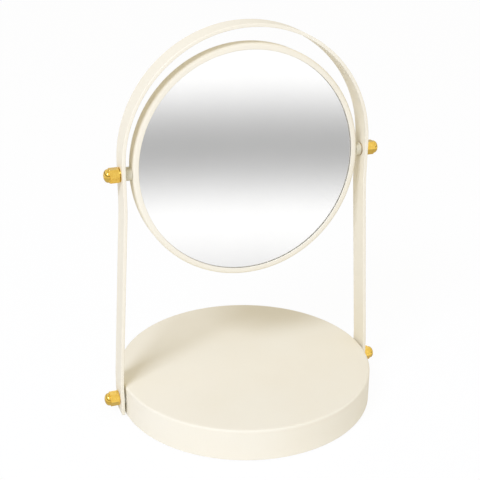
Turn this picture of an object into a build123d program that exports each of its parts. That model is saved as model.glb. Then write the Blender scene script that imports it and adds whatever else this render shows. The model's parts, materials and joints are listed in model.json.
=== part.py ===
from build123d import *
import os
from math import acos, atan2, cos, hypot, radians, sin, tan

# Round table mirror on a flat round base, hung in a bent steel strap.
# Millimetres. X runs from pivot to pivot, the mirror looks to -Y, Z is up.
# The origin is the centre of the base where it rests on the table.

os.makedirs("parts", exist_ok=True)

# Running and assembly clearances
fit_gap = 0.05          # between parts clamped or screwed together, on the radius
running_gap = 0.06      # between the pivot stud and its bush, on the radius
loose_gap = 0.3         # between a disc and the wall that surrounds it
thread_relief = 1.0     # free depth left in front of a screw in its cap nut

# Base, drawn from one sheet
base_diameter = 200.0
base_height = 26.0      # table to the flat top
base_sheet = 1.2
base_edge_radius = 1.7  # outside of the bend between skirt and top

# Underside of the base
pad_thickness = 1.5
pad_proud = 0.9         # how far the pad lifts the skirt off the table
pad_edge_gap = 1.5      # pad to the screw heads around it
floor_plate_thickness = 2.0
bracket_count = 4
bracket_sheet = 1.2
bracket_leg = 9.0
bracket_height = 8.0
bracket_sweep = 7.0     # degrees
plate_screw_diameter = 3.5
plate_screw_head = 6.4
plate_screw_length = 7.0

# Strap that forms the arch
strap_width = 18.0
strap_thickness = 2.5
strap_end_height = 2.0  # lower end of the strap above the table
strap_gap = 1.2         # base wall to the strap, the spacer's thickness
foot_margin = 6.5       # the foot stays straight this far above the spacer
shoulder_drop = 22.5    # the leg is upright again from here below the pivots
bend_radius = 150.0
arch_rise = 7.0         # centre of the half circle above the pivots

# Screws, studs and cap nuts
thread_diameter = 6.0
nut_flats = 10.0
nut_hex_height = 6.7
nut_chamfer = 0.5
nut_dome_radius = 4.6
nut_bore_depth = 8.0
screw_head_diameter = 11.0
screw_head_height = 3.2
screw_head_edge = 0.4
hex_key_size = 4.0
hex_key_depth = 2.0
spacer_diameter = 12.0
saddle_thickness = 2.0
saddle_width = 16.0
saddle_height = 12.0
saddle_corner = 2.0

# Pivots of the mirror
pivot_height = 195.0
boss_diameter = 10.0
boss_length = 4.6       # frame to the flange of the bush
spigot_diameter = 7.4
bush_flange_diameter = 10.0
bush_flange_thickness = 0.8
bush_sleeve_wall = 0.8
bush_relief = 0.1       # the sleeve ends this far inside the strap's outer face
pivot_washer_diameter = 11.0
pivot_washer_thickness = 0.6
stud_engagement = 4.0   # length of stud inside the boss

# Mirror
mirror_tilt = 2.0       # degrees that the glass looks up at rest
frame_diameter = 175.0
frame_sheet = 1.2
frame_front_radius = 2.2
frame_rear_radius = 1.6
bezel_width = 4.7
rolled_lip_width = 3.6
glass_thickness = 3.0
foam_thickness = 2.6
board_thickness = 3.0
cover_sheet = 1.0
cover_flange_width = 12.0
cover_step_run = 1.6
cover_step_height = 0.8

# Worked out from the sizes above
base_radius = base_diameter / 2
wall_inside = base_radius - base_sheet
bolt_height = base_height / 2
foot_height = bolt_height + spacer_diameter / 2 + foot_margin
foot_reach = base_radius + strap_gap + strap_thickness
frame_radius = frame_diameter / 2
frame_inside = frame_radius - frame_sheet
frame_depth = 2 * frame_sheet + glass_thickness + foam_thickness + board_thickness + cover_sheet
boss_outer_end = frame_radius + boss_length
strap_inside = boss_outer_end + bush_flange_thickness
pivot_reach = strap_inside + strap_thickness
washer_reach = pivot_reach + pivot_washer_thickness
shoulder_height = pivot_height - shoulder_drop
arch_height = pivot_height + arch_rise
bore_radius = thread_diameter / 2 + fit_gap
bush_bore_radius = thread_diameter / 2 + running_gap
bush_sleeve_radius = bush_bore_radius + bush_sleeve_wall
strap_pivot_hole = bush_sleeve_radius + fit_gap
strap_bolt_hole = thread_diameter / 2 + 4 * fit_gap

# The leg leans in between two equal bends: the lean that fits them to the step in its width
leg_span = shoulder_height - foot_height
leg_step = foot_reach - pivot_reach
bend_centres = hypot(leg_span, 2 * bend_radius - leg_step)
leg_lean = atan2(leg_span, 2 * bend_radius - leg_step) - acos(2 * bend_radius / bend_centres)
bend_length = bend_radius * tan(leg_lean / 2)

# The stack inside the mirror frame, as distances from the pivot along the glass's normal
frame_front = frame_depth / 2
glass_front = frame_front - frame_sheet
foam_front = glass_front - glass_thickness
board_front = foam_front - foam_thickness
cover_front = board_front - board_thickness
cover_rear = cover_front - cover_sheet
frame_rear = -frame_depth / 2

sides = {"left": -1, "right": 1}


def save(part_builder, name):
    part_builder.part.label = name
    export_step(part_builder.part, f"parts/{name}.step")


def bolt_plane(side, reach, height):
    # Plane square to the bolt or pivot axis, looking out from the object
    return Plane(origin=(side * reach, 0, height), x_dir=(0, 1, 0), z_dir=(side, 0, 0))


def section_plane(seat):
    # Plane through the axis of seat: its x is a radius, its y runs along the axis
    return Plane(origin=seat.origin, x_dir=seat.x_dir, z_dir=-seat.y_dir)


def turned_axis(seat):
    return Axis(seat.origin, seat.z_dir)


# Base shell: skirt, bent edge and flat top in one sheet
with BuildPart() as base_shell:
    with BuildSketch(Plane.XZ):
        with BuildLine():
            FilletPolyline(
                (base_radius, pad_proud),
                (base_radius, base_height),
                (0, base_height),
                radius=base_edge_radius,
            )
            offset(amount=base_sheet, side=Side.LEFT)
        make_face()
    revolve(axis=Axis.Z)
    for side in sides.values():
        with BuildSketch(bolt_plane(side, wall_inside - base_sheet, bolt_height)):
            Circle(strap_bolt_hole)
        extrude(amount=3 * base_sheet, mode=Mode.SUBTRACT)
save(base_shell, "base_shell")

# Underside of the base: ballast plate on four brackets, and the pad
plate_top = pad_thickness + floor_plate_thickness
bracket_outside = wall_inside - fit_gap
plate_screw_circle = bracket_outside - (bracket_leg + bracket_sheet) / 2
plate_screw_head_depth = (plate_screw_head - plate_screw_diameter) / 2
bracket_turns = [(index + 0.5) * 360 / bracket_count for index in range(bracket_count)]

with BuildPart() as base_floor_plate:
    with BuildSketch(Plane.XY.offset(pad_thickness)):
        Circle(wall_inside - loose_gap)
    extrude(amount=floor_plate_thickness)
    with Locations(Plane.XY.offset(pad_thickness) * Rot(180, 0, 0)):
        with PolarLocations(plate_screw_circle, bracket_count, start_angle=180 / bracket_count):
            CounterSinkHole(
                radius=plate_screw_diameter / 2 + fit_gap,
                counter_sink_radius=plate_screw_head / 2 + fit_gap,
                counter_sink_angle=90,
            )
save(base_floor_plate, "base_floor_plate")

with BuildPart() as base_plate_brackets:
    for turn in bracket_turns:
        with BuildSketch(Plane.XZ.rotated((0, 0, turn - bracket_sweep / 2))):
            with BuildLine():
                Polyline(
                    (bracket_outside, plate_top),
                    (bracket_outside, plate_top + bracket_height),
                    (bracket_outside - bracket_sheet, plate_top + bracket_height),
                    (bracket_outside - bracket_sheet, plate_top + bracket_sheet),
                    (bracket_outside - bracket_leg, plate_top + bracket_sheet),
                    (bracket_outside - bracket_leg, plate_top),
                    close=True,
                )
            make_face()
        revolve(axis=Axis.Z, revolution_arc=bracket_sweep)
    with BuildSketch(Plane.XY.offset(plate_top)):
        with PolarLocations(plate_screw_circle, bracket_count, start_angle=180 / bracket_count):
            Circle(plate_screw_diameter / 2 + fit_gap)
    extrude(amount=bracket_sheet, mode=Mode.SUBTRACT)
save(base_plate_brackets, "base_plate_brackets")

with BuildPart() as base_plate_screws:
    for turn in bracket_turns:
        screw_place = Vector(plate_screw_circle, 0, pad_thickness).rotate(Axis.Z, turn)
        screw_seat = Plane(origin=screw_place, z_dir=(0, 0, 1))
        with BuildSketch(section_plane(screw_seat)):
            with BuildLine():
                Polyline(
                    (0, 0),
                    (plate_screw_head / 2, 0),
                    (plate_screw_diameter / 2, plate_screw_head_depth),
                    (plate_screw_diameter / 2, plate_screw_length),
                    (0, plate_screw_length),
                    close=True,
                )
            make_face()
        revolve(axis=turned_axis(screw_seat))
save(base_plate_screws, "base_plate_screws")

with BuildPart() as base_pad:
    with BuildSketch(Plane.XY):
        Circle(plate_screw_circle - plate_screw_head / 2 - pad_edge_gap)
    extrude(amount=pad_thickness)
save(base_pad, "base_pad")

# Arch strap: one flat bar bent into two legs and a half circle
with BuildPart() as arch_strap:
    with BuildSketch(Plane.XZ):
        with BuildLine():
            leg = FilletPolyline(
                (foot_reach, strap_end_height),
                (foot_reach, foot_height + bend_length),
                (pivot_reach, shoulder_height - bend_length),
                (pivot_reach, arch_height),
                radius=bend_radius,
            )
            CenterArc((0, arch_height), pivot_reach, 0, 180)
            mirror(leg, about=Plane.YZ)
            offset(amount=strap_thickness, side=Side.LEFT)
        make_face()
    extrude(amount=strap_width / 2, both=True)
    for side in sides.values():
        with BuildSketch(bolt_plane(side, strap_inside - strap_thickness, pivot_height)):
            Circle(strap_pivot_hole)
        extrude(amount=3 * strap_thickness, mode=Mode.SUBTRACT)
        with BuildSketch(bolt_plane(side, base_radius, bolt_height)):
            Circle(strap_bolt_hole)
        extrude(amount=strap_gap + 2 * strap_thickness, mode=Mode.SUBTRACT)
save(arch_strap, "arch_strap")


def cap_nut(seat):
    # Hexagon with both ends chamfered, a domed cap and a blind bore
    corner_radius = nut_flats / 2 / cos(radians(30))
    with BuildPart() as nut:
        with BuildSketch(seat):
            RegularPolygon(corner_radius, 6)
        extrude(amount=nut_hex_height)
        with BuildSketch(section_plane(seat)):
            with BuildLine():
                Polyline(
                    (0, 0),
                    (corner_radius - 2 * nut_chamfer, 0),
                    (corner_radius, nut_chamfer),
                    (corner_radius, nut_hex_height - nut_chamfer),
                    (corner_radius - 2 * nut_chamfer, nut_hex_height),
                    (0, nut_hex_height),
                    close=True,
                )
            make_face()
        revolve(axis=turned_axis(seat), mode=Mode.INTERSECT)
        with BuildSketch(section_plane(seat)):
            with BuildLine():
                dome = CenterArc((0, nut_hex_height), nut_dome_radius, 0, 90)
                Polyline(
                    dome @ 1,
                    (0, nut_hex_height - nut_chamfer),
                    (nut_dome_radius, nut_hex_height - nut_chamfer),
                    dome @ 0,
                )
            make_face()
        revolve(axis=turned_axis(seat))
        with BuildSketch(seat):
            Circle(bore_radius)
        extrude(amount=nut_bore_depth, mode=Mode.SUBTRACT)
    return nut


# Joints of the strap and the base: screw, saddle, spacer and cap nut
for name, side in sides.items():
    screw_seat = bolt_plane(side, bracket_outside - saddle_thickness, bolt_height)

    with BuildPart() as base_saddle:
        with BuildSketch(screw_seat):
            RectangleRounded(saddle_width, saddle_height, saddle_corner)
            Circle(bore_radius, mode=Mode.SUBTRACT)
        extrude(amount=saddle_thickness + base_sheet)
        with BuildSketch(Plane.XY):
            Circle(wall_inside - fit_gap)
        extrude(amount=base_height, mode=Mode.INTERSECT)
    save(base_saddle, f"{name}_base_saddle")

    with BuildPart() as base_screw:
        with BuildSketch(section_plane(screw_seat)):
            with BuildLine():
                head_arc = ThreePointArc(
                    (screw_head_diameter / 2, -screw_head_edge),
                    (screw_head_diameter * 0.4, -screw_head_height * 0.72),
                    (hex_key_size * 0.8, -screw_head_height),
                )
                Polyline(
                    head_arc @ 1,
                    (0, -screw_head_height),
                    (0, 0),
                    (screw_head_diameter / 2, 0),
                    head_arc @ 0,
                )
            make_face()
        revolve(axis=turned_axis(screw_seat))
        with BuildSketch(screw_seat):
            Circle(thread_diameter / 2)
        extrude(
            amount=foot_reach + nut_bore_depth - thread_relief - bracket_outside + saddle_thickness,
        )
        with BuildSketch(screw_seat.offset(-screw_head_height)):
            RegularPolygon(hex_key_size / 2, 6, major_radius=False)
        extrude(amount=hex_key_depth, mode=Mode.SUBTRACT)
    save(base_screw, f"{name}_base_screw")

    with BuildPart() as base_spacer:
        with BuildSketch(bolt_plane(side, wall_inside, bolt_height)):
            Circle(spacer_diameter / 2)
            Circle(bore_radius, mode=Mode.SUBTRACT)
        extrude(amount=base_sheet + strap_gap)
        with BuildSketch(Plane.XY):
            Circle(base_radius + fit_gap)
        extrude(amount=base_height, mode=Mode.SUBTRACT)
    save(base_spacer, f"{name}_base_spacer")

    save(cap_nut(bolt_plane(side, foot_reach, bolt_height)), f"{name}_base_cap_nut")

# Mirror: framed glass, foam, board and back cover
# glass_plane looks out of the mirror, and its origin is on the pivot axis
glass_plane = Plane(
    origin=(0, 0, pivot_height),
    x_dir=(1, 0, 0),
    z_dir=(0, -cos(radians(mirror_tilt)), sin(radians(mirror_tilt))),
)
glass_axis = turned_axis(glass_plane)

with BuildPart() as mirror_frame:
    with BuildSketch(section_plane(glass_plane)):
        with BuildLine():
            FilletPolyline(
                (frame_radius - rolled_lip_width, frame_rear),
                (frame_radius, frame_rear),
                (frame_radius, frame_front),
                (frame_radius - bezel_width, frame_front),
                radius=[frame_rear_radius, frame_front_radius],
            )
            offset(amount=frame_sheet, side=Side.LEFT)
        make_face()
    revolve(axis=glass_axis)
    for side in sides.values():
        with BuildSketch(bolt_plane(side, frame_inside - frame_sheet, pivot_height)):
            Circle(spigot_diameter / 2 + fit_gap)
        extrude(amount=3 * frame_sheet, mode=Mode.SUBTRACT)
save(mirror_frame, "mirror_frame")

with BuildPart() as mirror_glass:
    with BuildSketch(glass_plane.offset(foam_front)):
        Circle(frame_radius - frame_front_radius - loose_gap)
    extrude(amount=glass_thickness)
save(mirror_glass, "mirror_glass")

with BuildPart() as glass_foam_pad:
    with BuildSketch(glass_plane.offset(board_front)):
        Circle(frame_inside - loose_gap)
    extrude(amount=foam_thickness)
save(glass_foam_pad, "glass_foam_pad")

with BuildPart() as backing_board:
    with BuildSketch(glass_plane.offset(cover_front)):
        Circle(frame_inside - loose_gap)
    extrude(amount=board_thickness)
save(backing_board, "backing_board")

cover_radius = frame_radius - frame_rear_radius - loose_gap
cover_step_radius = cover_radius - cover_flange_width

with BuildPart() as back_cover:
    with BuildSketch(section_plane(glass_plane)):
        with BuildLine():
            Polyline(
                (0, cover_rear - cover_step_height),
                (cover_step_radius - cover_step_run, cover_rear - cover_step_height),
                (cover_step_radius, cover_rear),
                (cover_radius, cover_rear),
            )
            offset(amount=cover_sheet, side=Side.LEFT)
        make_face()
    revolve(axis=glass_axis)
save(back_cover, "back_cover")

# Pivots: riveted boss, stud, flanged bush in the strap, washer and cap nut
for name, side in sides.items():
    with BuildPart() as pivot_boss:
        with BuildSketch(bolt_plane(side, frame_inside, pivot_height)):
            Circle(boss_diameter / 2)
        extrude(amount=boss_outer_end - frame_inside)
        with BuildSketch(glass_plane):
            Circle(frame_radius + fit_gap)
        extrude(amount=boss_diameter, both=True, mode=Mode.SUBTRACT)
        with BuildSketch(bolt_plane(side, frame_inside, pivot_height)):
            Circle(spigot_diameter / 2)
        extrude(amount=boss_outer_end - frame_inside)
        with BuildSketch(bolt_plane(side, boss_outer_end, pivot_height)):
            Circle(bore_radius)
        extrude(amount=-stud_engagement, mode=Mode.SUBTRACT)
    save(pivot_boss, f"{name}_pivot_boss")

    with BuildPart() as pivot_stud:
        with BuildSketch(bolt_plane(side, boss_outer_end - stud_engagement, pivot_height)):
            Circle(thread_diameter / 2)
        extrude(amount=stud_engagement + washer_reach - boss_outer_end + nut_bore_depth - thread_relief)
    save(pivot_stud, f"{name}_pivot_stud")

    with BuildPart() as pivot_bush:
        with BuildSketch(bolt_plane(side, boss_outer_end, pivot_height)):
            Circle(bush_flange_diameter / 2)
        extrude(amount=bush_flange_thickness)
        with BuildSketch(bolt_plane(side, strap_inside, pivot_height)):
            Circle(bush_sleeve_radius)
        extrude(amount=strap_thickness - bush_relief)
        with BuildSketch(bolt_plane(side, boss_outer_end, pivot_height)):
            Circle(bush_bore_radius)
        extrude(amount=bush_flange_thickness + strap_thickness, mode=Mode.SUBTRACT)
    save(pivot_bush, f"{name}_pivot_bush")

    with BuildPart() as pivot_washer:
        with BuildSketch(bolt_plane(side, pivot_reach, pivot_height)):
            Circle(pivot_washer_diameter / 2)
            Circle(bore_radius, mode=Mode.SUBTRACT)
        extrude(amount=pivot_washer_thickness)
    save(pivot_washer, f"{name}_pivot_washer")

    save(cap_nut(bolt_plane(side, washer_reach, pivot_height)), f"{name}_pivot_cap_nut")
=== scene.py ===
import bmesh
import bpy
import json
from math import acos, atan2, cos, hypot, pi, radians, sin, sqrt, tan
from mathutils import Matrix, Vector


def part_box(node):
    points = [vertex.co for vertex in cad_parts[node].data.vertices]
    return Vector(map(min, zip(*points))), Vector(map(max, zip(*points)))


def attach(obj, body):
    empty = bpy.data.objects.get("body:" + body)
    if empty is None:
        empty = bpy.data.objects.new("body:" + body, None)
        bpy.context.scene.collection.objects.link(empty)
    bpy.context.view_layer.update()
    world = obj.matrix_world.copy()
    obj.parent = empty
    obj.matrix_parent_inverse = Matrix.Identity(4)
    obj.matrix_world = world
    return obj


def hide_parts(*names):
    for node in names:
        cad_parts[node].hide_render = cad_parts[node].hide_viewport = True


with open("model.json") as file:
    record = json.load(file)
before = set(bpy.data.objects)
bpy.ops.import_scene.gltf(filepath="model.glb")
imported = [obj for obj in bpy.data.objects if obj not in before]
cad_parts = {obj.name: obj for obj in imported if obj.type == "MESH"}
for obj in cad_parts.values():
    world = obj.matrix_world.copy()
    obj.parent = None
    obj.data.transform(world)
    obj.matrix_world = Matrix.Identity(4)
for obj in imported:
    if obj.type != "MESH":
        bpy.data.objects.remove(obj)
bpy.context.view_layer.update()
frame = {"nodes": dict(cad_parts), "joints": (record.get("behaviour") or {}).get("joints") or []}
mm = 0.001  # the small sizes below are in millimetres, the scene is in metres
sides = (("left", -1), ("right", 1))

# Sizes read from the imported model
shellLow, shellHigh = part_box("base_shell")
strapLow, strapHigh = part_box("arch_strap")
padLow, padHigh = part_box("base_pad")
baseRadius = shellHigh.x
topHeight = shellHigh.z
boltHeight = sum(corner.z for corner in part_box("left_base_cap_nut")) / 2
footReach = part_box("right_base_cap_nut")[0].x  # outer face of the strap at the bolts
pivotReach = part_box("right_pivot_washer")[0].x  # the same face at the pivots
pivotHeight = frame["joints"][0]["pos_m"][2]
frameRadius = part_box("mirror_frame")[1].x


# Mesh helpers

sharpFrom = 32  # edges steeper than this many degrees are shaded sharp
drillSteps = 48
poleRadius = 1e-7  # a point of an outline that is nearer to the axis than this becomes a pole


def arcPoints(centre, radius, start, end, steps):
    # points on an arc in a section, angles in degrees, both ends included
    turns = [radians(start + (end - start) * step / steps) for step in range(steps + 1)]
    return [(centre[0] + radius * cos(turn), centre[1] + radius * sin(turn)) for turn in turns]


def softCorners(corners, steps=4, hold=0.3):
    # closed outline of (radius, height, rounding) corners, each turned into a small arc;
    # a point at each side of it, hold times the rounding away, keeps the flats flat
    outline = []
    for index, (radius, height, rounding) in enumerate(corners):
        here = Vector((radius, height))
        before = Vector(corners[index - 1][:2]) - here
        after = Vector(corners[(index + 1) % len(corners)][:2]) - here
        if rounding <= 0:
            outline.append((radius, height))
            continue
        before.normalize()
        after.normalize()
        half = before.angle(after) / 2
        reach = rounding / tan(half)
        first = here + before * reach
        last = here + after * reach
        centre = here + (before + after).normalized() * rounding / sin(half)
        outline.append(tuple(first + before * rounding * hold))
        for step in range(steps + 1):
            spoke = (first - centre).lerp(last - centre, step / steps).normalized() * rounding
            outline.append(tuple(centre + spoke))
        outline.append(tuple(last + after * rounding * hold))
    return outline


def ringRows(mesh, rows, closed=False):
    # joins rows of vertices into a skin; a row with one vertex is a pole
    pairs = list(zip(rows, rows[1:]))
    if closed:
        pairs.append((rows[-1], rows[0]))
    for lower, upper in pairs:
        count = max(len(lower), len(upper))
        for index in range(count):
            after = (index + 1) % count
            if len(lower) == 1 and len(upper) == 1:
                continue
            if len(lower) == 1:
                mesh.faces.new((lower[0], upper[after], upper[index]))
            elif len(upper) == 1:
                mesh.faces.new((lower[index], lower[after], upper[0]))
            else:
                mesh.faces.new((lower[index], lower[after], upper[after], upper[index]))


def turnedMesh(outline, steps, closed=False):
    # turns (radius, height) points about the local Z axis
    mesh = bmesh.new()
    spokes = [2 * pi * step / steps for step in range(steps)]
    rows = []
    for radius, height in outline:
        if radius < poleRadius:
            rows.append([mesh.verts.new((0, 0, height))])
        else:
            rows.append([mesh.verts.new((radius * cos(a), radius * sin(a), height)) for a in spokes])
    ringRows(mesh, rows, closed)
    return mesh


def meshData(name, mesh):
    # turns a bmesh into mesh data with its faces looking outwards
    bmesh.ops.recalc_face_normals(mesh, faces=mesh.faces[:])
    data = bpy.data.meshes.new(name)
    mesh.to_mesh(data)
    mesh.free()
    return data


def addObject(name, data):
    thing = bpy.data.objects.new(name, data)
    bpy.context.scene.collection.objects.link(thing)
    return thing


def makePiece(name, mesh, material, body, place=None):
    # finishes a bmesh as a piece of the model
    data = meshData(name, mesh)
    data.shade_smooth()
    data.set_sharp_from_angle(angle=radians(sharpFrom))
    data.materials.append(material)
    piece = addObject(name, data)
    if place is not None:
        piece.matrix_world = place
    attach(piece, body)
    return piece


def softEdges(piece, width, segments=3, angle=40):
    # small round-over on every hard edge
    bevel = piece.modifiers.new("roundOver", "BEVEL")
    bevel.width = width
    bevel.segments = segments
    bevel.limit_method = "ANGLE"
    bevel.angle_limit = radians(angle)
    bevel.harden_normals = True


def drill(piece, holes):
    # cuts round holes: each is (place, radius, length), along the local Z of its place
    for index, (place, radius, length) in enumerate(holes):
        half = length / 2
        mesh = turnedMesh([(0, -half), (radius, -half), (radius, half), (0, half)], drillSteps)
        cutterName = f"{piece.name}_drill{index}"
        cutter = addObject(cutterName, meshData(cutterName, mesh))
        cutter.matrix_world = place
        cut = piece.modifiers.new("hole", "BOOLEAN")
        cut.operation = "DIFFERENCE"
        cut.solver = "EXACT"
        cut.object = cutter
        bpy.context.view_layer.update()
        graph = bpy.context.evaluated_depsgraph_get()
        drilled = bpy.data.meshes.new_from_object(piece.evaluated_get(graph))
        piece.modifiers.remove(cut)
        piece.data = drilled
        bpy.data.objects.remove(cutter)
    piece.data.set_sharp_from_angle(angle=radians(sharpFrom))


def placeFrom(across, up, out, spot):
    # matrix whose local X, Y and Z are these directions
    place = Matrix((across, up, out)).transposed().to_4x4()
    place.translation = spot
    return place


def sidePlace(side, reach, height):
    # local Z points out of the object at that side, local X points along +Y
    outward = Vector((side, 0, 0))
    forward = Vector((0, 1, 0))
    return placeFrom(forward, outward.cross(forward), outward, Vector((side * reach, 0, height)))


# Shader helpers

def feed(tree, socket, value):
    # links another node's output, or sets a plain number or colour
    if isinstance(value, bpy.types.NodeSocket):
        tree.links.new(value, socket)
    elif isinstance(value, tuple):
        socket.default_value = (*value, 1.0)
    else:
        socket.default_value = value


def newMaterial(name):
    material = bpy.data.materials.new(name)
    material.use_nodes = True
    tree = material.node_tree
    tree.nodes.clear()
    output = tree.nodes.new("ShaderNodeOutputMaterial")
    output.location = (600, 0)
    shader = tree.nodes.new("ShaderNodeBsdfPrincipled")
    shader.location = (300, 0)
    tree.links.new(shader.outputs["BSDF"], output.inputs["Surface"])
    return material, tree, shader


def groupShell(name, inputs, outputs):
    # empty node group with named sockets: name, type, and for an input its default
    group = bpy.data.node_groups.new(name, "ShaderNodeTree")
    for label, kind, value in inputs:
        socket = group.interface.new_socket(name=label, in_out="INPUT", socket_type=kind)
        socket.default_value = value
    for label, kind in outputs:
        group.interface.new_socket(name=label, in_out="OUTPUT", socket_type=kind)
    entry = group.nodes.new("NodeGroupInput")
    entry.location = (-900, 0)
    leave = group.nodes.new("NodeGroupOutput")
    leave.location = (700, 0)
    return group, entry, leave


def placeGroup(tree, group, **values):
    node = tree.nodes.new("ShaderNodeGroup")
    node.node_tree = group
    for label, value in values.items():
        node.inputs[label.replace("_", " ")].default_value = value
    return node


def mathNode(tree, operation, first, second):
    node = tree.nodes.new("ShaderNodeMath")
    node.operation = operation
    feed(tree, node.inputs[0], first)
    feed(tree, node.inputs[1], second)
    return node.outputs[0]


def noiseNode(tree, coordinates, scale, detail=2.0, roughness=0.5):
    node = tree.nodes.new("ShaderNodeTexNoise")
    node.inputs["Detail"].default_value = detail
    node.inputs["Roughness"].default_value = roughness
    tree.links.new(coordinates, node.inputs["Vector"])
    feed(tree, node.inputs["Scale"], scale)
    return node.outputs["Fac"]


def rangeNode(tree, value, between, low=0.0, high=1.0):
    # stretches the values between two levels to low and high
    node = tree.nodes.new("ShaderNodeMapRange")
    node.inputs["From Min"].default_value, node.inputs["From Max"].default_value = between
    node.inputs["To Min"].default_value = low
    node.inputs["To Max"].default_value = high
    tree.links.new(value, node.inputs["Value"])
    return node.outputs["Result"]


def mixValues(tree, factor, first, second):
    # first where factor is 0, second where it is 1
    rise = mathNode(tree, "SUBTRACT", second, first)
    return mathNode(tree, "ADD", mathNode(tree, "MULTIPLY", rise, factor), first)


def mixColours(tree, factor, first, second):
    node = tree.nodes.new("ShaderNodeMix")
    node.data_type = "RGBA"
    colourSockets = [socket for socket in node.inputs if socket.type == "RGBA"]
    for socket, value in zip(colourSockets, (first, second)):
        feed(tree, socket, value)
    tree.links.new(factor, node.inputs["Factor"])
    return [socket for socket in node.outputs if socket.type == "RGBA"][0]


def bumpFrom(tree, height, shader, strength, distance):
    bump = tree.nodes.new("ShaderNodeBump")
    bump.inputs["Strength"].default_value = strength
    bump.inputs["Distance"].default_value = distance
    tree.links.new(height, bump.inputs["Height"])
    tree.links.new(bump.outputs["Normal"], shader.inputs["Normal"])


surfaceGrainShape = {
    "pebbleShare": 0.65,  # of the height; the rest comes from a slower noise
    "slowScale": 0.3,  # scale of that noise, against the pebble's
    "speckScale": 1.7,
    "speckLevel": 0.72,  # noise above this is a speck
}


def buildSurfaceGrain(values):
    # fine pebble of a sprayed or cast skin, with a slow drift in tone
    tree, entry, leave = groupShell(
        "surfaceGrain",
        [
            ("Pebble Scale", "NodeSocketFloat", 1400.0),
            ("Drift Scale", "NodeSocketFloat", 14.0),
            ("Speck Amount", "NodeSocketFloat", 0.3),
        ],
        [("Height", "NodeSocketFloat"), ("Drift", "NodeSocketFloat"), ("Specks", "NodeSocketFloat")],
    )
    coordinates = tree.nodes.new("ShaderNodeTexCoord").outputs["Object"]
    pebbleScale = entry.outputs["Pebble Scale"]
    slowScale = mathNode(tree, "MULTIPLY", pebbleScale, values["slowScale"])
    pebble = noiseNode(tree, coordinates, pebbleScale, roughness=0.55)
    slow = noiseNode(tree, coordinates, slowScale, detail=1.0)
    pebblePart = mathNode(tree, "MULTIPLY", pebble, values["pebbleShare"])
    slowPart = mathNode(tree, "MULTIPLY", slow, 1 - values["pebbleShare"])
    tree.links.new(mathNode(tree, "ADD", pebblePart, slowPart), leave.inputs["Height"])
    drift = noiseNode(tree, coordinates, entry.outputs["Drift Scale"], detail=3.0)
    tree.links.new(drift, leave.inputs["Drift"])
    speckScale = mathNode(tree, "MULTIPLY", pebbleScale, values["speckScale"])
    speck = noiseNode(tree, coordinates, speckScale, detail=0.0)
    specks = mathNode(tree, "GREATER_THAN", speck, values["speckLevel"])
    shown = mathNode(tree, "MULTIPLY", specks, entry.outputs["Speck Amount"])
    tree.links.new(shown, leave.inputs["Specks"])
    return tree


def buildFineScratches():
    # thin marks of turning or polishing: noise stretched along one axis of the piece
    tree, entry, leave = groupShell(
        "fineScratches",
        [
            ("Stretch", "NodeSocketVector", (60.0, 60.0, 2500.0)),
            ("Patch Scale", "NodeSocketFloat", 350.0),
        ],
        [("Height", "NodeSocketFloat"), ("Mask", "NodeSocketFloat")],
    )
    coordinates = tree.nodes.new("ShaderNodeTexCoord").outputs["Object"]
    mapping = tree.nodes.new("ShaderNodeMapping")
    tree.links.new(coordinates, mapping.inputs["Vector"])
    tree.links.new(entry.outputs["Stretch"], mapping.inputs["Scale"])
    lines = noiseNode(tree, mapping.outputs["Vector"], 1.0, roughness=0.6)
    patches = noiseNode(tree, coordinates, entry.outputs["Patch Scale"])
    tree.links.new(lines, leave.inputs["Height"])
    tree.links.new(mathNode(tree, "MULTIPLY", lines, patches), leave.inputs["Mask"])
    return tree


surfaceGrain = buildSurfaceGrain(surfaceGrainShape)
fineScratches = buildFineScratches()

creamPaint = {
    "light": (0.887, 0.834, 0.668),
    "deep": (0.870, 0.808, 0.632),
    "speck": (0.806, 0.735, 0.540),
    "roughness": (0.52, 0.64),
    "specular": 0.26,
    "pebbleDepth": 0.000035,
}
# darker copy of the cream paint for the pivot bosses: painted shade, standing in for the shade they sit in
# between the strap and the frame
bossPaintedShade = {
    "light": (0.700, 0.655, 0.490),
    "deep": (0.640, 0.590, 0.420),
    "speck": (0.560, 0.500, 0.340),
    "roughness": (0.34, 0.46),
    "specular": 0.40,
    "pebbleDepth": 0.000025,
}
paintGrain = {
    "pebbleScale": 1500.0,
    "driftScale": 16.0,
    "speckAmount": 0.35,
    "spread": (0.3, 0.7),  # levels of the noise that become the lowest and the highest tone
    "bump": 0.6,
}


def grainNode(tree, pebbleScale, driftScale, speckAmount):
    return placeGroup(
        tree,
        surfaceGrain,
        Pebble_Scale=pebbleScale,
        Drift_Scale=driftScale,
        Speck_Amount=speckAmount,
    )


def paintMaterial(name, values, grain):
    material, tree, shader = newMaterial(name)
    skin = grainNode(tree, grain["pebbleScale"], grain["driftScale"], grain["speckAmount"])
    depth = rangeNode(tree, skin.outputs["Drift"], grain["spread"])
    tone = mixColours(tree, depth, values["light"], values["deep"])
    colour = mixColours(tree, skin.outputs["Specks"], tone, values["speck"])
    tree.links.new(colour, shader.inputs["Base Color"])
    rough = rangeNode(tree, skin.outputs["Height"], grain["spread"], *values["roughness"])
    tree.links.new(rough, shader.inputs["Roughness"])
    shader.inputs["Specular IOR Level"].default_value = values["specular"]
    bumpFrom(tree, skin.outputs["Height"], shader, grain["bump"], values["pebbleDepth"])
    return material


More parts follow.
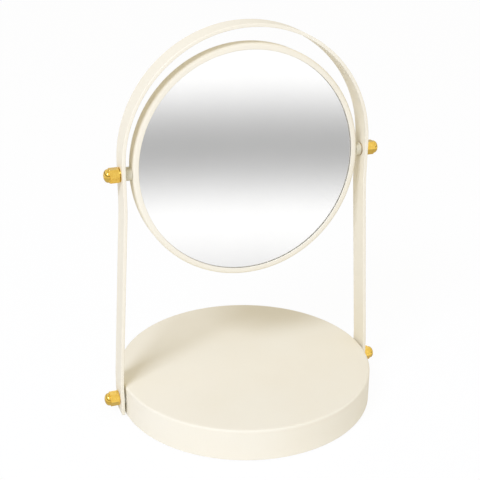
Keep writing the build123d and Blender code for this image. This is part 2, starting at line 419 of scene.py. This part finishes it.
goldBrass = {
    "bright": (0.950, 0.655, 0.145),
    "deep": (0.820, 0.510, 0.085),
    "roughness": (0.08, 0.20),
    "stretch": (500.0, 500.0, 9000.0),
    "markDepth": 0.000006,
}
turnedBrass = {
    "bright": (0.600, 0.490, 0.330),
    "deep": (0.440, 0.340, 0.210),
    "roughness": (0.28, 0.45),
    "stretch": (400.0, 400.0, 12000.0),
    "markDepth": 0.00001,
}
zincSteel = {
    "bright": (0.620, 0.635, 0.650),
    "deep": (0.450, 0.460, 0.470),
    "roughness": (0.28, 0.48),
    "stretch": (900.0, 900.0, 900.0),
    "markDepth": 0.000008,
}
metalMarks = {"patchScale": 420.0, "spread": (0.12, 0.38), "bump": 0.5}


def metalMaterial(name, values, wear):
    material, tree, shader = newMaterial(name)
    marks = placeGroup(tree, fineScratches, Stretch=values["stretch"], Patch_Scale=wear["patchScale"])
    patch = rangeNode(tree, marks.outputs["Mask"], wear["spread"])
    colour = mixColours(tree, patch, values["bright"], values["deep"])
    tree.links.new(colour, shader.inputs["Base Color"])
    rough = rangeNode(tree, marks.outputs["Mask"], wear["spread"], *values["roughness"])
    tree.links.new(rough, shader.inputs["Roughness"])
    shader.inputs["Metallic"].default_value = 1.0
    bumpFrom(tree, marks.outputs["Height"], shader, wear["bump"], values["markDepth"])
    return material


silvering = {
    "clear": (0.955, 0.953, 0.953),
    "hazy": (0.940, 0.938, 0.938),
    "roughness": (0.0, 0.012),
    "pebbleScale": 90.0,
    "driftScale": 25.0,
    "spread": (0.35, 0.75),
}


def silverMaterial(name, values):
    material, tree, shader = newMaterial(name)
    haze = grainNode(tree, values["pebbleScale"], values["driftScale"], 0.0).outputs["Drift"]
    colour = mixColours(tree, rangeNode(tree, haze, values["spread"]), values["clear"], values["hazy"])
    tree.links.new(colour, shader.inputs["Base Color"])
    rough = rangeNode(tree, haze, values["spread"], *values["roughness"])
    tree.links.new(rough, shader.inputs["Roughness"])
    shader.inputs["Metallic"].default_value = 1.0
    return material


clearGlass = {
    "clear": (0.992, 0.992, 0.990),
    "film": (0.982, 0.982, 0.980),
    "ior": 1.5,
    "pebbleScale": 60.0,
    "driftScale": 18.0,
}


def glassMaterial(name, values):
    material, tree, shader = newMaterial(name)
    film = grainNode(tree, values["pebbleScale"], values["driftScale"], 0.0).outputs["Drift"]
    tree.links.new(mixColours(tree, film, values["clear"], values["film"]), shader.inputs["Base Color"])
    shader.inputs["Transmission Weight"].default_value = 1.0
    shader.inputs["Roughness"].default_value = 0.0
    shader.inputs["IOR"].default_value = values["ior"]
    return material


softSheets = {
    "foamMaterial": {
        "light": (0.040, 0.040, 0.043),
        "deep": (0.018, 0.018, 0.020),
        "scale": 900.0,
        "depth": 0.00012,
    },
    "hardboardMaterial": {
        "light": (0.260, 0.150, 0.070),
        "deep": (0.130, 0.070, 0.032),
        "scale": 420.0,
        "depth": 0.00005,
    },
    "padMaterial": {
        "light": (0.700, 0.665, 0.580),
        "deep": (0.560, 0.520, 0.430),
        "scale": 800.0,
        "depth": 0.00010,
    },
}
sheetGrain = {
    "driftScale": 30.0,
    "speckAmount": 0.8,
    "spread": (0.35, 0.65),
    "driftSpread": (0.3, 0.7),
    "roughness": (0.80, 0.95),
    "specular": 0.2,
    "bump": 0.8,
}


def sheetMaterial(name, values, grain):
    # foam, hardboard and the foam rubber pad: matte, grainy, no gloss
    material, tree, shader = newMaterial(name)
    skin = grainNode(tree, values["scale"], grain["driftScale"], grain["speckAmount"])
    mask = rangeNode(tree, skin.outputs["Height"], grain["spread"])
    tone = mixColours(tree, mask, values["light"], values["deep"])
    colour = mixColours(tree, skin.outputs["Specks"], tone, values["deep"])
    tree.links.new(colour, shader.inputs["Base Color"])
    rough = rangeNode(tree, skin.outputs["Drift"], grain["driftSpread"], *grain["roughness"])
    tree.links.new(rough, shader.inputs["Roughness"])
    shader.inputs["Specular IOR Level"].default_value = grain["specular"]
    bumpFrom(tree, skin.outputs["Height"], shader, grain["bump"], values["depth"])
    return material


cream = paintMaterial("creamPowderCoat", creamPaint, paintGrain)
# the same cream darkened as painted shade, used on the pivot bosses
creamWithPaintedShade = paintMaterial("creamPaintedShadeOnBosses", bossPaintedShade, paintGrain)
brass = metalMaterial("polishedBrass", goldBrass, metalMarks)
bushBrass = metalMaterial("turnedBrass", turnedBrass, metalMarks)
zinc = metalMaterial("zincPlatedSteel", zincSteel, metalMarks)
silver = silverMaterial("mirrorSilvering", silvering)
glass = glassMaterial("clearFloatGlass", clearGlass)
sheets = {name: sheetMaterial(name, values, sheetGrain) for name, values in softSheets.items()}
print("materials ready")


baseShell = {
    "sheet": 1.2 * mm,
    "edgeRadius": 1.7 * mm,
    "bendSteps": 14,
    "hem": 0.35 * mm,  # round-over of the skirt's cut edge
    "hemSteps": 4,
    "hold": 0.3 * mm,  # support rings this far from the bend keep the wall and the top flat
    "innerRing": 0.6,  # one more ring in the flat top, as a share of its radius
    "boltHole": 3.2 * mm,
    "drillLength": 8 * mm,
    "steps": 256,
}


def shellSkin(values, inward):
    # section of one skin of the sheet, from above the hem to the middle of the top
    wall = baseRadius - inward
    top = topHeight - inward
    radius = values["edgeRadius"]
    corner = (baseRadius - radius, topHeight - radius)
    skin = [(wall, shellLow.z + values["hem"]), (wall, shellLow.z + 2 * values["hem"])]
    skin.append((wall, corner[1] - values["hold"]))
    skin += arcPoints(corner, radius - inward, 0, 90, values["bendSteps"])
    skin += [(corner[0] - values["hold"], top), (corner[0] * values["innerRing"], top), (0, top)]
    return skin


def makeBaseShell(values):
    hem = values["hem"]
    hemHeight = shellLow.z + hem
    outerHem = (baseRadius - hem, hemHeight)
    innerHem = (baseRadius - values["sheet"] + hem, hemHeight)
    outline = shellSkin(values, values["sheet"])[::-1]
    outline += arcPoints(innerHem, hem, 180, 270, values["hemSteps"])[1:]
    outline += arcPoints(outerHem, hem, -90, 0, values["hemSteps"])[:-1]
    outline += shellSkin(values, 0)
    shell = makePiece("baseShell", turnedMesh(outline, values["steps"]), cream, "stand")
    bolts = [sidePlace(side, baseRadius, boltHeight) for name, side in sides]
    drill(shell, [(place, values["boltHole"], values["drillLength"]) for place in bolts])
    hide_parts("base_shell")


makeBaseShell(baseShell)
print("base shell ready")


archStrap = {
    "thickness": 2.5 * mm,
    "bendRadius": 150 * mm,
    "bendSteps": 12,
    "footMargin": 12.5 * mm,  # straight foot above the bolt
    "shoulderDrop": 22.5 * mm,
    "archRise": 7 * mm,
    "archSteps": 96,
    "edge": 0.45 * mm,
    "edgeSteps": 5,
    "endTurns": (90, 67.5, 45, 22.5),  # degrees round the edge of the cut ends
    "pivotHole": 3.91 * mm,
    "boltHole": 3.2 * mm,
    "drillLength": 10 * mm,
}


def strapStations(values):
    # points and outward normals along the outer face in the X-Z plane, from the right foot to the left one
    footHeight = boltHeight + values["footMargin"]
    shoulder = pivotHeight - values["shoulderDrop"]
    crown = pivotHeight + values["archRise"]
    bend = values["bendRadius"]
    span = shoulder - footHeight
    step = footReach - pivotReach
    lean = atan2(span, 2 * bend - step) - acos(2 * bend / hypot(span, 2 * bend - step))
    turns = [lean * index / values["bendSteps"] for index in range(values["bendSteps"] + 1)]
    leg = [(Vector((footReach, strapLow.z)), 0.0), (Vector((footReach, boltHeight)), 0.0)]
    for turn in turns:
        leg.append((Vector((footReach - bend * (1 - cos(turn)), footHeight + bend * sin(turn))), turn))
    for turn in reversed(turns):
        leg.append((Vector((pivotReach + bend * (1 - cos(turn)), shoulder - bend * sin(turn))), turn))
    leg.append((Vector((pivotReach, pivotHeight)), 0.0))
    right = [(point, Vector((cos(turn), sin(turn)))) for point, turn in leg]
    arch = []
    for index in range(values["archSteps"] + 1):
        turn = pi * index / values["archSteps"]
        spoke = Vector((cos(turn), sin(turn)))
        arch.append((Vector((0, crown)) + spoke * pivotReach, spoke))
    left = [(Vector((-point.x, point.y)), Vector((-normal.x, normal.y))) for point, normal in reversed(right)]
    return right + arch + left


def strapProfile(values, halfWidth):
    # section of the bar as (across, depth) points, depth 0 being the outer face
    thickness = values["thickness"]
    corners = [(halfWidth, 0), (halfWidth, -thickness), (-halfWidth, -thickness), (-halfWidth, 0)]
    return softCorners([(across, depth, values["edge"]) for across, depth in corners], values["edgeSteps"])


def makeArchStrap(values):
    halfWidth = (strapHigh.y - strapLow.y) / 2
    halfThickness = values["thickness"] / 2
    edge = values["edge"]
    profile = strapProfile(values, halfWidth)
    stations = strapStations(values)
    mesh = bmesh.new()
    rows = []

    def addRow(point, normal, rise=0.0, shrink=0.0):
        # one section of the bar, lifted by rise and drawn in by shrink at the rounded ends
        row = []
        for across, depth in profile:
            y = across * (halfWidth - shrink) / halfWidth
            drawn = (depth + halfThickness) * (halfThickness - shrink) / halfThickness
            spot = point + Vector((0, rise)) + normal * (drawn - halfThickness)
            row.append(mesh.verts.new((spot.x, y, spot.y)))
        rows.append(row)

    def addEnd(point, normal, turns):
        for turn in turns:
            addRow(point, normal, edge * (1 - sin(radians(turn))), edge * (1 - cos(radians(turn))))

    endTurns = (*values["endTurns"], 0)
    addEnd(*stations[0], endTurns)
    for point, normal in stations[1:-1]:
        addRow(point, normal)
    addEnd(*stations[-1], reversed(endTurns))
    ringRows(mesh, rows)
    mesh.faces.new(rows[0])
    mesh.faces.new(rows[-1])
    strap = makePiece("archStrap", mesh, cream, "stand")
    holes = []
    for name, side in sides:
        holes.append((sidePlace(side, pivotReach, pivotHeight), values["pivotHole"], values["drillLength"]))
        holes.append((sidePlace(side, footReach, boltHeight), values["boltHole"], values["drillLength"]))
    drill(strap, holes)
    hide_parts("arch_strap")


makeArchStrap(archStrap)
print("arch strap ready")


capNut = {
    "flats": 10 * mm,
    "hexHeight": 7.6 * mm,
    "chamfer": 0.5 * mm,
    "domeRadius": 4.85 * mm,
    "domeStraight": 0.6 * mm,  # upright part of the cap under its dome
    "domeHeight": 3.7 * mm,
    "domeSteps": 16,
    "boreRadius": 3.05 * mm,
    "boreDepth": 8 * mm,
    "edge": 0.14 * mm,
    "steps": 96,
}


def capNutMesh(values):
    # hexagon whose ends are turned to a cone, with a round dome and a blind bore
    steps = values["steps"]
    flat = values["flats"] / 2
    seat = flat / cos(radians(30)) - 2 * values["chamfer"]
    height = values["hexHeight"]
    bore = values["boreRadius"]
    dome = values["domeRadius"]
    straight = values["domeStraight"]
    mesh = bmesh.new()
    spokes = [2 * pi * step / steps for step in range(steps)]
    rows = []

    def hexRadius(turn):
        return flat / cos((turn % radians(60)) - radians(30))

    def chamferAt(turn):
        return (hexRadius(turn) - seat) / 2

    def addRing(radiusAt, heightAt):
        row = []
        for turn in spokes:
            radius = radiusAt(turn)
            row.append(mesh.verts.new((radius * cos(turn), radius * sin(turn), heightAt(turn))))
        rows.append(row)

    def addCircle(radius, level):
        addRing(lambda turn: radius, lambda turn: level)

    rows.append([mesh.verts.new((0, 0, values["boreDepth"]))])
    addCircle(bore, values["boreDepth"])
    addCircle(bore, 0)
    addCircle(seat, 0)
    addRing(hexRadius, chamferAt)
    addRing(hexRadius, lambda turn: height - chamferAt(turn))
    addCircle(seat, height)
    addCircle(dome, height)
    for radius, rise in arcPoints((0, 0), 1, 0, 90, values["domeSteps"])[:-1]:
        addCircle(radius * dome, height + straight + rise * (values["domeHeight"] - straight))
    rows.append([mesh.verts.new((0, 0, height + values["domeHeight"]))])
    ringRows(mesh, rows)
    return mesh


def makeCapNut(values, name, side, spot, height, body):
    node = f"{name}_{spot}_cap_nut"
    low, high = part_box(node)
    place = sidePlace(side, min(abs(low.x), abs(high.x)), height)
    title = f"{name}{spot.title()}CapNut"
    nut = makePiece(title, capNutMesh(values), brass, body, place)
    softEdges(nut, values["edge"])
    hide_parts(node)


pivotWasher = {
    "radius": 5.5 * mm,
    "bore": 3.05 * mm,
    "edge": 0.15 * mm,
    "steps": 72,
}


def makeWasher(values, name, side):
    low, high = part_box(f"{name}_pivot_washer")
    thickness = high.x - low.x
    outline = softCorners(
        [
            (values["bore"], 0, 0),
            (values["radius"], 0, values["edge"]),
            (values["radius"], thickness, values["edge"]),
            (values["bore"], thickness, 0),
        ]
    )
    washer = makePiece(
        f"{name}PivotWasher",
        turnedMesh(outline, values["steps"], closed=True),
        brass,
        "mirror_head",
        sidePlace(side, min(abs(low.x), abs(high.x)), pivotHeight),
    )
    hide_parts(f"{name}_pivot_washer")


for name, side in sides:
    makeCapNut(capNut, name, side, "pivot", pivotHeight, "mirror_head")
    makeCapNut(capNut, name, side, "base", boltHeight, "stand")
    makeWasher(pivotWasher, name, side)
print("cap nuts and washers ready")


mirrorTilt = radians(2)  # how far the glass looks up
glassNormal = Vector((0, -cos(mirrorTilt), sin(mirrorTilt)))
glassUp = Vector((0, sin(mirrorTilt), cos(mirrorTilt)))
glassPlace = placeFrom(Vector((1, 0, 0)), glassUp, glassNormal, Vector((0, 0, pivotHeight)))

# Heights in the pieces of the head run along the glass normal, from the pivot
mirrorFrame = {
    "sheet": 1.2 * mm,
    "halfDepth": 6 * mm,
    "frontRounding": 2.2 * mm,
    "rearRounding": 1.6 * mm,
    "bezelWidth": 4.7 * mm,
    "lipWidth": 3.6 * mm,
    "bezelEdge": 0.5 * mm,
    "lipEdge": 0.4 * mm,
    "innerEdge": 0.2 * mm,
    "cornerSteps": 8,
    "spigotHole": 3.75 * mm,
    "drillLength": 6 * mm,
    "steps": 240,
}


def makeMirrorFrame(values):
    sheet = values["sheet"]
    front = values["halfDepth"]
    inside = frameRadius - sheet
    bezel = frameRadius - values["bezelWidth"]
    lip = frameRadius - values["lipWidth"]
    corners = [
        (lip, -front, values["lipEdge"]),
        (frameRadius, -front, values["rearRounding"]),
        (frameRadius, front, values["frontRounding"]),
        (bezel, front, values["bezelEdge"]),
        (bezel, front - sheet, values["innerEdge"]),
        (inside, front - sheet, values["frontRounding"] - sheet),
        (inside, -front + sheet, values["rearRounding"] - sheet),
        (lip, -front + sheet, values["innerEdge"]),
    ]
    mesh = turnedMesh(softCorners(corners, values["cornerSteps"]), values["steps"], closed=True)
    ring = makePiece("mirrorFrame", mesh, cream, "mirror_head", glassPlace)
    spigots = [sidePlace(side, frameRadius, pivotHeight) for name, side in sides]
    drill(ring, [(place, values["spigotHole"], values["drillLength"]) for place in spigots])
    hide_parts("mirror_frame")


mirrorPane = {
    "radius": 85 * mm,
    "frontHeight": 4.8 * mm,
    "backHeight": 1.8 * mm,
    "silverDepth": 0.5 * mm,  # below the front of the glass
    "silverGap": 0.02 * mm,
    "edge": 0.35 * mm,
    "backEdge": 0.105 * mm,
    "steps": 192,
}


def makeGlass(values):
    front = values["frontHeight"]
    silverFront = front - values["silverDepth"]
    silverRadius = values["radius"] - values["edge"]
    paneCorners = [
        (0, silverFront, 0),
        (values["radius"], silverFront, values["backEdge"]),
        (values["radius"], front, values["edge"]),
        (0, front, 0),
    ]
    silverCorners = [
        (0, values["backHeight"], 0),
        (silverRadius, values["backHeight"], 0),
        (silverRadius, silverFront - values["silverGap"], 0),
        (0, silverFront - values["silverGap"], 0),
    ]
    layers = (("mirrorPane", paneCorners, glass), ("mirrorSilverLayer", silverCorners, silver))
    for name, corners, material in layers:
        mesh = turnedMesh(softCorners(corners), values["steps"])
        layer = makePiece(name, mesh, material, "mirror_head", glassPlace)
        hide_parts("mirror_glass")


backCover = {
    "sheet": 1 * mm,
    "radius": 85.6 * mm,
    "stepRadius": 73.6 * mm,
    "stepRun": 1.6 * mm,
    "stepHeight": 0.8 * mm,
    "rear": -4.8 * mm,
    "bend": 2 * mm,
    "edge": 0.3 * mm,
    "cornerSteps": 6,
    "steps": 192,
}


def makeBackCover(values):
    rear = values["rear"]
    raised = rear - values["stepHeight"]
    sheet = values["sheet"]
    bend = values["bend"]
    inner = values["stepRadius"] - values["stepRun"]
    corners = [
        (0, raised, 0),
        (inner, raised, bend),
        (values["stepRadius"], rear, bend),
        (values["radius"], rear, values["edge"]),
        (values["radius"], rear + sheet, values["edge"]),
        (values["stepRadius"], rear + sheet, bend + sheet),
        (inner, raised + sheet, bend - sheet),
        (0, raised + sheet, 0),
    ]
    mesh = turnedMesh(softCorners(corners, values["cornerSteps"]), values["steps"])
    cover = makePiece("backCover", mesh, cream, "mirror_head", glassPlace)
    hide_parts("back_cover")


pivotBoss = {
    "radius": 5 * mm,
    "length": 4.6 * mm,
    "clearance": 0.03 * mm,  # keeps the turning boss just off the fixed bush
    "edge": 0.35 * mm,
    "edgeSteps": 5,
    "fillet": 0.5 * mm,
    "filletSteps": 5,
    "spigotRadius": 3.7 * mm,
    "spigotDepth": 1.2 * mm,
    "bore": 3.05 * mm,
    "boreDepth": 4 * mm,
    "steps": 72,
}


def bossMesh(values, side):
    # turned boss whose inner end is saddled to the round frame
    mesh = bmesh.new()
    outer = frameRadius + values["length"] - values["clearance"]
    boreEnd = outer - values["boreDepth"]
    spigotEnd = frameRadius - values["spigotDepth"]
    edge = values["edge"]
    spokes = [2 * pi * step / values["steps"] for step in range(values["steps"])]
    place = sidePlace(side, 0, 0)
    rows = []

    def wallAt(radius, turn):
        # how far out along the pivot axis the frame's wall is at that spot
        spot = place @ Vector((radius * cos(turn), radius * sin(turn), 0))
        return sqrt(frameRadius ** 2 - spot.dot(glassUp) ** 2)

    def addRing(radius, heightAt):
        rows.append([mesh.verts.new((radius * cos(a), radius * sin(a), heightAt(a))) for a in spokes])

    def addCircle(radius, level):
        addRing(radius, lambda turn: level)

    def addSaddle(radius, lift):
        addRing(radius, lambda turn: wallAt(radius, turn) + lift)

    rows.append([mesh.verts.new((0, 0, boreEnd))])
    addCircle(values["bore"], boreEnd)
    addCircle(values["bore"], outer)
    for radius, level in arcPoints((values["radius"] - edge, outer - edge), edge, 90, 0, values["edgeSteps"]):
        addCircle(radius, level)
    for across, rise in arcPoints((1, 1), 1, 180, 270, values["filletSteps"]):
        addSaddle(values["radius"] + values["fillet"] * across, values["fillet"] * rise)
    addSaddle(values["spigotRadius"], 0)
    addCircle(values["spigotRadius"], spigotEnd)
    rows.append([mesh.verts.new((0, 0, spigotEnd))])
    ringRows(mesh, rows)
    return mesh


def makeBoss(values, name, side):
    place = sidePlace(side, 0, pivotHeight)
    mesh = bossMesh(values, side)
    # the boss gets the cream with painted shade in its colour
    boss = makePiece(f"{name}PivotBoss", mesh, creamWithPaintedShade, "mirror_head", place)
    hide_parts(f"{name}_pivot_boss")


pivotBush = {
    "flangeRadius": 5 * mm,
    "flange": 0.8 * mm,
    "sleeveRadius": 3.86 * mm,
    "sleeve": 2.4 * mm,
    "bore": 3.06 * mm,
    "edge": 0.15 * mm,
    "steps": 72,
}


def makeBush(values, name, side):
    flange = values["flange"]
    end = flange + values["sleeve"]
    outline = softCorners(
        [
            (values["bore"], 0, 0),
            (values["flangeRadius"], 0, values["edge"]),
            (values["flangeRadius"], flange, values["edge"]),
            (values["sleeveRadius"], flange, 0),
            (values["sleeveRadius"], end, values["edge"]),
            (values["bore"], end, values["edge"]),
        ]
    )
    mesh = turnedMesh(outline, values["steps"], closed=True)
    place = sidePlace(side, frameRadius + pivotBoss["length"], pivotHeight)
    bush = makePiece(f"{name}PivotBush", mesh, bushBrass, "stand", place)
    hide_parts(f"{name}_pivot_bush")


makeMirrorFrame(mirrorFrame)
makeGlass(mirrorPane)
makeBackCover(backCover)
for name, side in sides:
    makeBoss(pivotBoss, name, side)
    makeBush(pivotBush, name, side)
print("mirror head ready")


basePad = {
    "edge": 0.5 * mm,
    "upperEdge": 0.2 * mm,
    "steps": 160,
}


def makePad(values):
    radius = padHigh.x
    outline = softCorners(
        [
            (0, padLow.z, 0),
            (radius, padLow.z, values["edge"]),
            (radius, padHigh.z, values["upperEdge"]),
            (0, padHigh.z, 0),
        ]
    )
    mesh = turnedMesh(outline, values["steps"])
    pad = makePiece("basePad", mesh, sheets["padMaterial"], "stand")
    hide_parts("base_pad")


makePad(basePad)

# Pieces that stay as they were constructed and only get a finish
zincNodes = ["base_floor_plate", "base_plate_brackets", "base_plate_screws"]
for name, side in sides:
    zincNodes += [f"{name}_{piece}" for piece in ("base_screw", "base_saddle", "base_spacer", "pivot_stud")]
keptNodes = {
    zinc: zincNodes,
    sheets["foamMaterial"]: ["glass_foam_pad"],
    sheets["hardboardMaterial"]: ["backing_board"],
}
for material, nodes in keptNodes.items():
    for node in nodes:
        frame["nodes"][node].data.materials.clear()
        frame["nodes"][node].data.materials.append(material)
print("underside and inner pieces ready")


def directionTo(azimuth, elevation):
    # from the object to a spot round it, in degrees: azimuth 0 is the front, +90 the right side
    turn = radians(azimuth)
    rise = radians(elevation)
    return Vector((sin(turn) * cos(rise), -cos(turn) * cos(rise), sin(rise)))


camera = {
    "azimuth": -20.41,
    "elevation": 21.81,
    "distance": 0.7594,
    "lens": 75.36,
    "sensor": 36,
    "target": (0, 0, 0.150),
    "aimRight": -4.15 * mm,
    "aimUp": -17.2 * mm,
    "roll": 0.34,
    "clip": (0.01, 50),
}


def makeCamera(values):
    azimuth = radians(values["azimuth"])
    back = directionTo(values["azimuth"], values["elevation"])
    right = Vector((cos(azimuth), sin(azimuth), 0))
    up = back.cross(right)
    target = Vector(values["target"])
    spot = target + back * values["distance"]
    aim = target + right * values["aimRight"] + up * values["aimUp"]
    data = bpy.data.cameras.new("photoCamera")
    data.lens = values["lens"]
    data.sensor_width = values["sensor"]
    data.clip_start, data.clip_end = values["clip"]
    eye = addObject("photoCamera", data)
    look = (aim - spot).to_track_quat("-Z", "Y").to_matrix().to_4x4()
    eye.matrix_world = Matrix.Translation(spot) @ look @ Matrix.Rotation(radians(values["roll"]), 4, "Z")
    bpy.context.scene.camera = eye


paleFloor = {
    "radius": 6,
    "segments": 64,
    "colour": (0.94, 0.94, 0.94),
    "glow": 0.95,  # share of plain white that the camera sees on the floor
}


def makeFloor(values):
    mesh = bmesh.new()
    bmesh.ops.create_circle(mesh, cap_ends=True, radius=values["radius"], segments=values["segments"])
    data = bpy.data.meshes.new("floor")
    mesh.to_mesh(data)
    mesh.free()
    floor = addObject("floor", data)
    material = bpy.data.materials.new("paleFloor")
    material.use_nodes = True
    tree = material.node_tree
    tree.nodes.clear()
    output = tree.nodes.new("ShaderNodeOutputMaterial")
    diffuse = tree.nodes.new("ShaderNodeBsdfDiffuse")
    feed(tree, diffuse.inputs["Color"], values["colour"])
    glow = tree.nodes.new("ShaderNodeEmission")
    mix = tree.nodes.new("ShaderNodeMixShader")
    path = tree.nodes.new("ShaderNodeLightPath")
    share = mathNode(tree, "MULTIPLY", path.outputs["Is Camera Ray"], values["glow"])
    tree.links.new(share, mix.inputs[0])
    tree.links.new(diffuse.outputs[0], mix.inputs[1])
    tree.links.new(glow.outputs[0], mix.inputs[2])
    tree.links.new(mix.outputs[0], output.inputs["Surface"])
    data.materials.append(material)
    floor.visible_glossy = False
    floor.visible_transmission = False


# What metal and glass reflect: height of the ray's direction, brightness as a display value.
# The dip between two bright bands is the soft grey band across the mirror.
reflectedRoom = [
    (-1.00, 0.81),
    (-0.42, 0.81),
    (-0.312, 1.048),
    (-0.241, 0.741),
    (-0.170, 1.048),
    (-0.05, 0.96),
    (0.14, 0.52),
    (0.42, 1.02),
    (1.00, 0.88),
]
roomLight = {
    "brightSide": 38,  # azimuth of the side of the room that is brightest, for matt surfaces
    "fromBrightSide": 0.76,
    "fromDarkSide": 0.40,
    "overhead": 0.22,  # added straight above
    "brightColour": (1.000, 0.985, 1.000),
    "darkColour": (1.000, 0.925, 0.800),
    "rampTop": 1.25,  # brightness that is full white on the ramp
    "displayPower": 2.2,  # turns a display value into light
}


def makeReflection(tree, height, values):
    # brightness of the room in a reflection, by the height of the ray
    spread = mathNode(tree, "MULTIPLY", mathNode(tree, "ADD", height, 1.0), 0.5)
    ramp = tree.nodes.new("ShaderNodeValToRGB")
    ramp.color_ramp.interpolation = "EASE"
    stops = ramp.color_ramp.elements
    top = values["rampTop"]
    for index, (place, level) in enumerate(reflectedRoom):
        spot = (place + 1) / 2
        stop = stops[index] if index < 2 else stops.new(spot)  # a new ramp has two stops
        stop.position = spot
        stop.color = (level / top, level / top, level / top, 1)
    tree.links.new(spread, ramp.inputs["Fac"])
    shown = mathNode(tree, "MULTIPLY", ramp.outputs["Color"], top)
    return mathNode(tree, "POWER", shown, values["displayPower"])


def makeWorld(values):
    world = bpy.data.worlds.new("studioWorld")
    bpy.context.scene.world = world
    world.use_nodes = True
    tree = world.node_tree
    tree.nodes.clear()
    output = tree.nodes.new("ShaderNodeOutputWorld")
    split = tree.nodes.new("ShaderNodeSeparateXYZ")
    tree.links.new(tree.nodes.new("ShaderNodeTexCoord").outputs["Generated"], split.inputs[0])
    reflection = makeReflection(tree, split.outputs["Z"], values)
    bright = directionTo(values["brightSide"], 0)
    sideways = mathNode(tree, "MULTIPLY", split.outputs["X"], -bright.x)
    endways = mathNode(tree, "MULTIPLY", split.outputs["Y"], -bright.y)
    darkness = rangeNode(tree, mathNode(tree, "ADD", sideways, endways), (-1, 1))
    around = mixValues(tree, darkness, values["fromBrightSide"], values["fromDarkSide"])
    upward = mathNode(tree, "MAXIMUM", split.outputs["Z"], 0.0)
    fill = mathNode(tree, "ADD", around, mathNode(tree, "MULTIPLY", upward, values["overhead"]))
    fillColour = mixColours(tree, darkness, values["brightColour"], values["darkColour"])
    path = tree.nodes.new("ShaderNodeLightPath")
    seen = path.outputs["Is Camera Ray"]
    mirrored = mathNode(tree, "MAXIMUM", path.outputs["Is Glossy Ray"], path.outputs["Is Transmission Ray"])
    strength = mixValues(tree, seen, mixValues(tree, mirrored, fill, reflection), 1.0)
    plain = mathNode(tree, "MAXIMUM", mirrored, seen)
    background = tree.nodes.new("ShaderNodeBackground")
    tree.links.new(mixColours(tree, plain, fillColour, (1.0, 1.0, 1.0)), background.inputs["Color"])
    tree.links.new(strength, background.inputs["Strength"])
    tree.links.new(background.outputs[0], output.inputs["Surface"])


keyPanel = {
    "azimuth": -50,
    "elevation": 45,
    "distance": 1.7,
    "aim": (0, 0, 0.12),
    "size": (0.56, 0.38),  # across and up
    "power": 13.4,
    "colour": (0.900, 1.000, 1.340),
}


def makeKey(values):
    data = bpy.data.lights.new("keyPanel", "AREA")
    data.shape = "RECTANGLE"
    data.size, data.size_y = values["size"]
    data.energy = values["power"]
    data.color = values["colour"]
    lamp = addObject("keyPanel", data)
    back = directionTo(values["azimuth"], values["elevation"])
    lamp.location = Vector(values["aim"]) + back * values["distance"]
    lamp.rotation_euler = (-back).to_track_quat("-Z", "Y").to_euler()
    lamp.visible_camera = False


makeCamera(camera)
makeFloor(paleFloor)
makeWorld(roomLight)
makeKey(keyPanel)
bpy.context.scene.view_settings.view_transform = "Standard"
print("camera, floor and lights ready")
